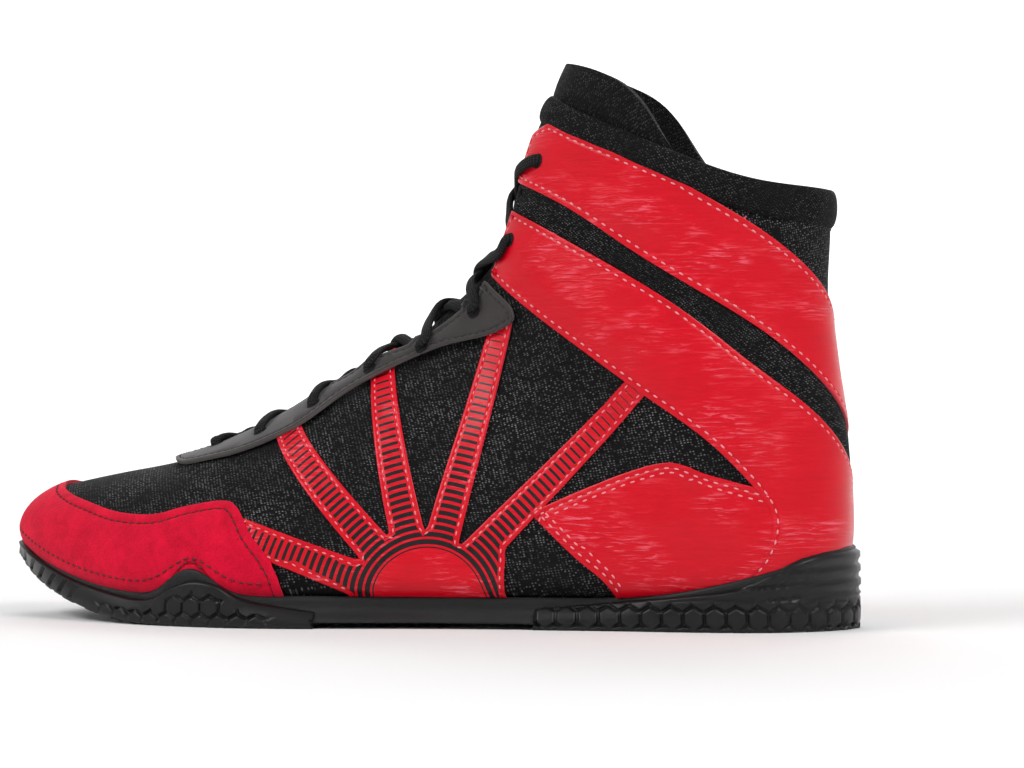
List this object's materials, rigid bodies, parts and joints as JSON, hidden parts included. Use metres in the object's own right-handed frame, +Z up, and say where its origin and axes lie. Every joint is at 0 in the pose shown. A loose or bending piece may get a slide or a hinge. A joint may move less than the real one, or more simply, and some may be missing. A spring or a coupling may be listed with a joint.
{
  "type": "wrestling shoe",
  "caption": "High-top wrestling shoe for a left foot, with a knit upper, ankle straps that wrap the heel, a suede toe cap, laced throat and a split rubber sole.",
  "frame": {"origin": "on the floor under the middle of the shoe's bounding box", "axes": "+X towards the toe, +Y towards the outer side of the left foot, +Z up"},
  "size_m": [0.2901, 0.0994, 0.1821],
  "materials": {
    "mesh": "black spacer mesh with a faint sparkle",
    "lining": "padded black knit",
    "rubber": "semi-matte black moulded rubber",
    "nubuck": "matte near-black nubuck",
    "suede": "matte red suede",
    "strap": "glossy brushed red synthetic leather",
    "webbing": "black woven strip with plain borders",
    "lace": "black round braid"
  },
  "bodies": {
    "root": {"upper": "mesh", "tongue": "lining", "insole": "lining", "midsole": "rubber", "outsole_forefoot": "rubber", "outsole_heel": "rubber", "collar_roll": "lining", "eyestay": "nubuck", "toe_cap": "suede", "ankle_strap": "strap", "heel_wrap": "strap", "ankle_strip": "webbing", "collar_patch_inner": "strap", "quarter_panel_outer": "strap", "side_support_outer": "strap", "side_support_inner": "strap", "laces": "lace"}
  },
  "joints": []
}
